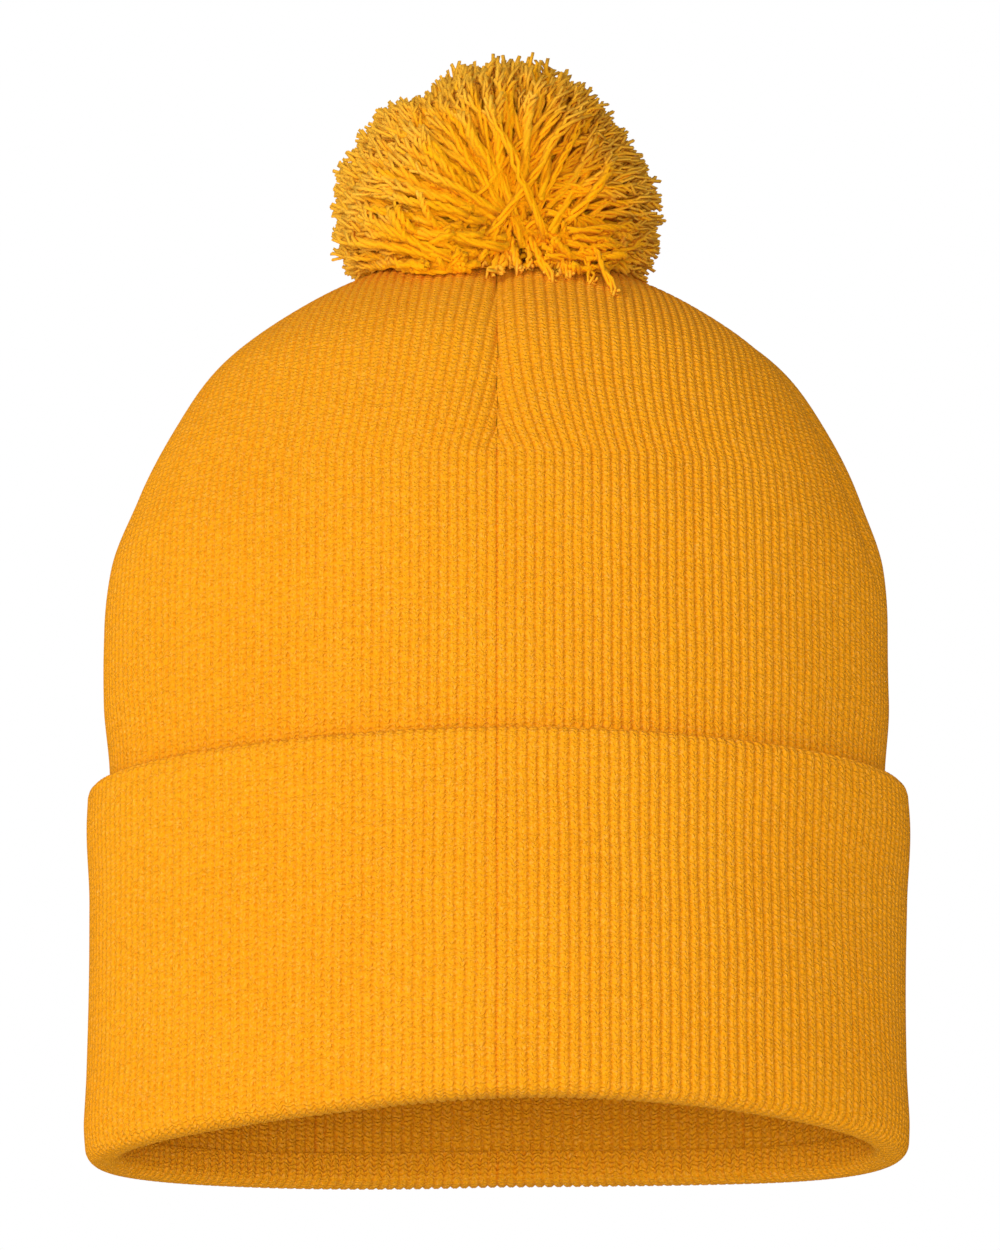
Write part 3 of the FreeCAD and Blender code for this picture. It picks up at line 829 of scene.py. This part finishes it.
def pompom_reach(direction):
    """Distance from the pompom's middle to its trimmed surface: lobed, and lower on the left."""
    x, y, z = direction.T
    high = pile_high.z - 4 * MM - BELLY
    low = BELLY - (CROWN_TOP - 14 * MM)
    upright = np.where(z > 0, high, low)
    plain = 1 / np.sqrt((x / PILE_WIDE) ** 2 + (y / PILE_WIDE) ** 2 + (z / upright) ** 2)
    bearing = np.arctan2(y, x)
    lobes = 0.02 * np.sin(4 * bearing + 0.6) * (1 - z * z)
    shoulder = -0.09 * np.exp(-(((x + 0.50) ** 2 + (z - 0.84) ** 2) / 0.07))
    right = -0.05 * np.exp(-(((x - 0.80) ** 2 + (z - 0.50) ** 2) / 0.06))
    return plain * (1 + lobes + shoulder + right)


def strand_roots(direction, rng):
    """Where each strand leaves the bundle: near one of three partings in front, or the middle behind."""
    x, y, z = direction.T
    root = np.tile([3 * MM, -25 * MM, CROWN_TOP + 2 * MM], (len(x), 1))
    low_left = (z < -0.05) & (x < -0.12)
    low_right = (z < -0.05) & (x > 0.25)
    root[low_left] = (-8 * MM, -27 * MM, CROWN_TOP - 5 * MM)
    root[low_right] = (13 * MM, -27 * MM, CROWN_TOP - 5 * MM)
    behind = smooth(-0.45, 0.6, y)[:, None]
    root = root * (1 - behind) + POMPOM_MIDDLE * behind
    return root + rng.normal(0, 1, root.shape) * np.array([4, 2, 4]) * MM


def pompom_paths(count, steps, seed):
    """Every yarn of the pompom, from its root to its cut end, bowed outwards."""
    rng = np.random.default_rng(seed)
    direction = part_in_front(sphere_directions(count, rng), 36)
    clump = waves(direction[:, 0] * 6, direction[:, 2] * 6, seed + 1, low=1, high=2)
    ragged = rng.normal(0, 0.022, count) + 0.03 * clump + 0.05 * rng.random(count) ** 8
    end = POMPOM_MIDDLE + direction * (pompom_reach(direction) * (1 + ragged))[:, None]
    start = strand_roots(direction, rng)
    middle = (start + end) / 2
    outward = middle - POMPOM_MIDDLE
    outward /= np.linalg.norm(outward, axis=1, keepdims=True)
    front = 1 - smooth(-0.7, 0.2, direction[:, 1])[:, None]
    middle = middle + outward * (3 + 4 * front) * MM + rng.normal(0, 1.2 * MM, middle.shape)
    paths = curve_between(start, middle, end, steps)
    t = np.linspace(0, 1, steps)
    phase = rng.uniform(0, 6, (count, 1))
    shake = np.sin(t * 8 + phase)[:, :, None] * rng.normal(0, 1, (count, 1, 3)) * t[None, :, None]
    return paths + 0.5 * MM * shake, rng


def drape(paths, radius):
    """Lifts any part of a strand that would sink into the crown, so that it lies on it."""
    floor = crown_height_at(paths[:, :, 0], paths[:, :, 1]) + radius + 0.4 * MM
    paths[:, :, 2] = np.maximum(paths[:, :, 2], floor)
    return paths


def trailing_paths(count, steps, seed):
    """Loose ends that hang from the front of the pompom over the crown."""
    rng = np.random.default_rng(seed)
    x = rng.uniform(-2, 22, count) * MM
    start = np.stack([x * 0.8, np.full(count, -20 * MM), np.full(count, pile_low.z)], 1)
    start += rng.normal(0, 1.5 * MM, start.shape)
    end_x = x + rng.normal(0, 3 * MM, count)
    end_y = rng.uniform(-31, -27, count) * MM
    end = np.stack([end_x, end_y, crown_height_at(end_x, end_y)], 1)
    middle = (start + end) / 2 + rng.normal(0, 1.5 * MM, end.shape)
    middle[:, 1] -= 3 * MM
    return curve_between(start, middle, end, steps), rng


def add_pompom_yarn(name, body, paths, rng, replaced=()):
    """Soft three-ply yarns with frayed ends."""
    count, steps = paths.shape[:2]
    t = np.linspace(0, 1, steps)[None, :]
    thick = rng.uniform(0.85, 1.15, (count, 1))
    offset = (0.50 + 0.55 * smooth(0.75, 1, t)) * thick * MM
    turns = 2.6 * t * np.ones((count, 1))
    plies = twist_plies(drape(paths, 0.8 * MM), PLIES, offset, turns, rng.random(count))
    plies = plies + rng.normal(0, 0.20 * MM, plies.shape)
    radius = (0.66 - 0.20 * smooth(0.7, 1, t)) * thick * MM
    tone = rng.random(count)
    obj = yarn_tubes(name, plies, np.tile(radius, (PLIES, 1)), np.tile(tone, PLIES), sides=3)
    return finish_piece(obj, body, pompom_yarn, replaced)


def make_pompom_core():
    """The dense middle of the pompom, that closes the gaps between the outer strands."""
    rows, columns = 40, 64
    polar = np.linspace(0, math.pi, rows)[:, None]
    turn = np.linspace(0, 2 * math.pi, columns + 1)[:-1][None, :]
    x = np.sin(polar) * np.cos(turn)
    y = np.sin(polar) * np.sin(turn)
    z = np.cos(polar) + 0 * turn
    direction = np.stack([x, y, z], 2).reshape(-1, 3)
    lumps = 0.77 + 0.04 * waves(direction[:, 0] * 9, direction[:, 2] * 9, 5)
    points = POMPOM_MIDDLE + direction * (pompom_reach(direction) * lumps)[:, None]
    points[:, 1] += 2 * MM
    clear = (1.2 + 60 * np.hypot(points[:, 0], points[:, 1])) * MM
    floor = crown_height_at(points[:, 0], points[:, 1]) + clear
    points[:, 2] = np.maximum(points[:, 2], floor)
    index = np.arange(rows * columns).reshape(rows, columns)
    index = np.hstack([index, index[:, :1]])
    index[0, :] = 0
    index[-1, :] = (rows - 1) * columns
    uv = np.tile([0.5, 0.62], (len(points), 1))
    core = tidy_mesh("pompom_core", points, flip(grid_faces(index)), uv)
    finish_piece(core, "pompom", pompom_yarn, ["pompom_pile"])


def make_pompom():
    """The cut strands. The ones that rest on the crown away from the tie stay with the hat."""
    paths, rng = pompom_paths(3300, 11, 17)
    end = paths[:, -1]
    resting = (end[:, 2] < pile_low.z - 1 * MM) & (np.hypot(end[:, 0], end[:, 1]) > 20 * MM)
    moving = np.flatnonzero(~resting)
    for i in range(4):
        part = paths[moving[i::4]]
        add_pompom_yarn(f"pompom_strands_{i + 1}", "pompom", part, rng, ["pompom_pile"])
    add_pompom_yarn("pompom_fringe", "hat", paths[resting], rng)
    trailing, rng = trailing_paths(16, 11, 31)
    add_pompom_yarn("pompom_trailing_ends", "hat", trailing, rng)


make_pompom_core()
make_pompom()


# ---------------------------------------------------------------------------
# Seams, the pompom's tie and the label
# ---------------------------------------------------------------------------


def plied_cord(name, body, path, width, replaced):
    """One cord of two plies along a path of points, with a full twist every 4 mm."""
    path = np.asarray(path)[None]
    run = np.concatenate([[0], np.cumsum(np.linalg.norm(np.diff(path[0], axis=0), axis=1))])
    offset = np.full(path.shape[:2], width * 0.24)
    turns = (run / (4 * MM))[None, :]
    strands = twist_plies(path, 2, offset, turns, np.zeros(1))
    radius = np.full(strands.shape[:2], width * 0.27)
    along = np.full(strands.shape[:2], 0.8)
    cord = yarn_tubes(name, strands, radius, np.full(len(strands), 0.3), sides=8, along=along)
    finish_piece(cord, body, tie_yarn, replaced)


def straight_path(bottom, top, steps):
    """Points straight up the middle of the hat."""
    z = np.linspace(bottom, top, steps)
    return np.stack([0 * z, 0 * z, z], 1)


def overlock_seam(name, node, wall, ribs, bearing, end, top_height, depth):
    """The sewn edges of a dart, between the two layers: two threads zigzagging over a thin fold."""
    share = round(bearing_share(wall, bearing) * ribs) / ribs
    angle = float(oval_angle(wall, np.array([share]))[0])
    rise = top_height - DOME_START
    lowest = math.asin((end * MM - DOME_START) / rise)
    step = np.linspace(lowest, math.radians(80), 181)
    a = (wall - depth) * np.cos(step)
    b = (wall + EXTRA - depth) * np.cos(step)
    z = DOME_START + (rise - depth) * np.sin(step)
    spine = np.stack([a * math.cos(angle), b * math.sin(angle), z], 1)
    across = np.array([-math.sin(angle), math.cos(angle), 0])
    count = len(step)
    zigzag = np.where(np.arange(count) % 2 == 0, 1, -1)
    paths = []
    for side in (-1, 1):
        paths.append(spine + across * (zigzag * side * 1.0 * MM)[:, None])
    for shift in (-0.9, 0.0, 0.9):
        paths.append(spine + across * shift * MM)
    paths = np.array(paths)
    radius = np.array([0.22, 0.22, 0.42, 0.42, 0.42])[:, None] * MM * np.ones((1, count))
    seam = yarn_tubes(name, paths, radius, np.full(5, 0.2), sides=5, along=np.full((5, count), 0.7))
    finish_piece(seam, "hat", seam_yarn, [node])


def make_seams():
    """The seams of the eight darts."""
    for name, (bearing, end) in zip(SIDE_NAMES, SHELL_DARTS):
        overlock_seam(
            f"seam_{name}", f"dart_seam_{name}", SHELL_OUT, RIBS,
            bearing, end, CROWN_TOP, 3.1 * MM,
        )
    for name, (bearing, end) in zip(CORNER_NAMES, LINING_DARTS):
        overlock_seam(
            f"lining_seam_line_{name}", f"lining_seam_{name}", LINING_DOME + KNIT, LINING_RIBS,
            bearing, end, LINING_TOP + KNIT, -0.8 * MM,
        )


def make_crown_stitch():
    """A gathering thread that weaves in and out round the hole at the crown."""
    turn = np.linspace(0, 2 * math.pi, 145)
    middle = (stitch_low.z + stitch_high.z) / 2
    reach = (stitch_high.x - stitch_low.x) / 2 - 0.5 * MM
    weave = 0.25 * MM * np.sin(turn * 12)
    path = np.stack([reach * np.cos(turn), reach * np.sin(turn), middle + weave], 1)
    plied_cord("crown_gathering", "hat", path, 1.2 * MM, ["crown_stitch"])


def make_tie():
    """The yarn that holds the pompom on, from the crown up to the middle of the pompom."""
    through_crown = straight_path(anchor_low.z, anchor_high.z, 30)
    at_bend = straight_path(bend_low.z, bend_high.z, 14)
    in_pompom = straight_path(pompom_tie_low.z, pompom_tie_high.z, 30)
    plied_cord("tie_through_crown", "hat", through_crown, 2 * MM, ["tie_anchor"])
    plied_cord("tie_at_bend", "tie_bend", at_bend, 2 * MM, ["tie_bend"])
    plied_cord("tie_in_pompom", "pompom", in_pompom, 2 * MM, ["pompom_tie"])


def make_knot():
    """The knot inside the lining, and its two loose tails."""
    centre = knot_high.z - (knot_high.x - knot_low.x) / 2
    turn = np.linspace(0, 2 * math.pi, 160)
    knot = np.stack([
        (np.sin(turn) + 2 * np.sin(2 * turn)) * 1.15 * MM,
        (np.cos(turn) - 2 * np.cos(2 * turn)) * 1.15 * MM,
        centre - np.sin(3 * turn) * 1.9 * MM,
    ], 1)
    plied_cord("tie_knot_loops", "hat", knot, 2 * MM, ["tie_knot"])
    for i, side in enumerate((-1, 1)):
        t = np.linspace(0, 1, 26)
        tail = np.stack([
            side * (0.8 + 3.2 * t**2) * MM,
            side * 0.8 * np.sin(t * 3) * MM,
            centre - (centre - knot_low.z) * t,
        ], 1)
        plied_cord(f"tie_tail_{i + 1}", "hat", tail, 1.9 * MM, ["tie_knot"])


def make_wraps():
    """Three wraps of yarn round the middle of the pompom's strands."""
    share = np.linspace(0, 1, 200)
    turn = share * 6 * math.pi
    middle = (binding_low.z + binding_high.z) / 2
    reach = (binding_high.z - binding_low.z) / 2 - 1 * MM
    wraps = np.stack([
        (share - 0.5) * 3.4 * MM,
        reach * np.cos(turn),
        middle + reach * np.sin(turn),
    ], 1)
    plied_cord("pompom_wraps", "pompom", wraps, 2 * MM, ["pompom_binding"])


def make_label():
    """A blank satin label, folded in half, hanging from a row of small stitches."""
    half = (label_high.y - label_low.y) / 2
    thick = label_high.x - label_low.x
    drop = label_high.z - label_low.z - thick / 2
    down = label_high.z - drop * np.linspace(0, 1, 31)
    bend = np.radians(np.linspace(0, 180, 9))[1:-1]
    x = np.concatenate([
        np.full(len(down), label_low.x),
        label_low.x + thick / 2 - thick / 2 * np.cos(bend),
        np.full(len(down), label_high.x),
    ])
    z = np.concatenate([down, label_high.z - drop - thick / 2 * np.sin(bend), down[::-1]])
    y = np.linspace(-half, half, 15)
    curl = 0.5 * MM * np.sin((label_high.z - z) / (9 * MM))[:, None] * (y / half)[None, :] ** 2
    shape = (len(x), len(y))
    y = np.broadcast_to(y, shape)
    z = np.broadcast_to(z[:, None], shape)
    points = np.stack([x[:, None] + np.abs(curl), y, z], 2)
    index = np.arange(len(x) * shape[1]).reshape(shape)
    uv = np.stack([y / MM, z / MM], 2)
    label = mesh_from("care_label_satin", points.reshape(-1, 3), grid_faces(index), uv.reshape(-1, 2))
    finish_piece(label, "hat", label_satin, ["care_label"])


def make_label_stitches():
    """Short stitches across the top of the label."""
    middle = (thread_low + thread_high) / 2
    spots = np.linspace(thread_low.y, thread_high.y, 8)
    t = np.linspace(0, 1, 7)
    paths = []
    for left, right in zip(spots[:-1], spots[1:]):
        y = left + (right - left) * (0.08 + 0.84 * t)
        paths.append(np.stack([middle.x + 0.2 * MM * np.sin(t * math.pi), y, middle.z + 0 * t], 1))
    paths = np.array(paths)
    radius = np.full(paths.shape[:2], 0.28 * MM)
    stitches = yarn_tubes("label_stitches", paths, radius, np.full(len(paths), 0.5), sides=8)
    finish_piece(stitches, "hat", label_thread, ["label_stitching"])


make_seams()
make_crown_stitch()
make_tie()
make_knot()
make_wraps()
make_label()
make_label_stitches()


# ---------------------------------------------------------------------------
# Camera, light and surroundings
# ---------------------------------------------------------------------------

CAMERA_ASIDE = 0.6 * MM
CAMERA_DISTANCE = 1400 * MM
CAMERA_HEIGHT = -241.6 * MM
CAMERA_TILT = 14.43
SENSOR = 36
LENS_SHARE = 5.146
FLOOR = -0.42


def add_camera():
    data = bpy.data.cameras.new("camera")
    data.sensor_fit = "VERTICAL"
    data.sensor_height = SENSOR
    data.lens = SENSOR * LENS_SHARE
    data.clip_start = 0.05
    camera = bpy.data.objects.new("camera", data)
    camera.location = (CAMERA_ASIDE, -CAMERA_DISTANCE, CAMERA_HEIGHT)
    camera.rotation_euler = (math.radians(90 + CAMERA_TILT), 0, 0)
    bpy.context.scene.collection.objects.link(camera)
    bpy.context.scene.camera = camera


def add_area_light(name, place, target, size, power):
    data = bpy.data.lights.new(name, "AREA")
    data.shape = "DISK"
    data.size = size
    data.energy = power
    light = bpy.data.objects.new(name, data)
    light.location = place
    light.rotation_euler = (Vector(target) - Vector(place)).to_track_quat("-Z", "Y").to_euler()
    bpy.context.scene.collection.objects.link(light)


def floor_material():
    n = Nodes("floor")
    n.shader.inputs["Base Color"].default_value = (0.88, 0.88, 0.88, 1)
    n.shader.inputs["Roughness"].default_value = 0.9
    return n.material


def backdrop_material():
    """Even white, seen by the camera only."""
    n = Nodes("backdrop")
    light = n.add("ShaderNodeEmission")
    light.inputs["Color"].default_value = (1, 1, 1, 1)
    light.inputs["Strength"].default_value = 1.0
    n.join(light.outputs[0], n.tree.nodes["Material Output"].inputs["Surface"])
    return n.material


def add_surroundings():
    """A pale floor well below the hat, a white backdrop and an even sky."""
    bpy.ops.mesh.primitive_circle_add(vertices=96, radius=4, fill_type="NGON", location=(0, 0, FLOOR))
    floor = bpy.context.object
    floor.name = "floor"
    floor.data.materials.append(floor_material())
    bpy.ops.mesh.primitive_uv_sphere_add(segments=64, ring_count=32, radius=3.9, location=(0, 0, FLOOR))
    sky = bpy.context.object
    sky.name = "backdrop"
    sky.data.materials.append(backdrop_material())
    for ray in ("diffuse", "glossy", "transmission", "volume_scatter", "shadow"):
        setattr(sky, f"visible_{ray}", False)
    world = bpy.data.worlds.new("world")
    world.use_nodes = True
    background = world.node_tree.nodes["Background"]
    background.inputs["Color"].default_value = (1, 1, 1, 1)
    background.inputs["Strength"].default_value = 0.41
    bpy.context.scene.world = world


add_camera()
add_surroundings()
add_area_light("key", place=(-1.55, -1.3, 0.75), target=(0, 0, 0.11), size=1.0, power=19)
add_area_light("low_fill", place=(0.0, -1.3, -0.14), target=(0, 0.05, 0.01), size=0.4, power=8)
bpy.context.scene.view_settings.view_transform = "Standard"
bpy.context.scene.view_settings.look = "None"
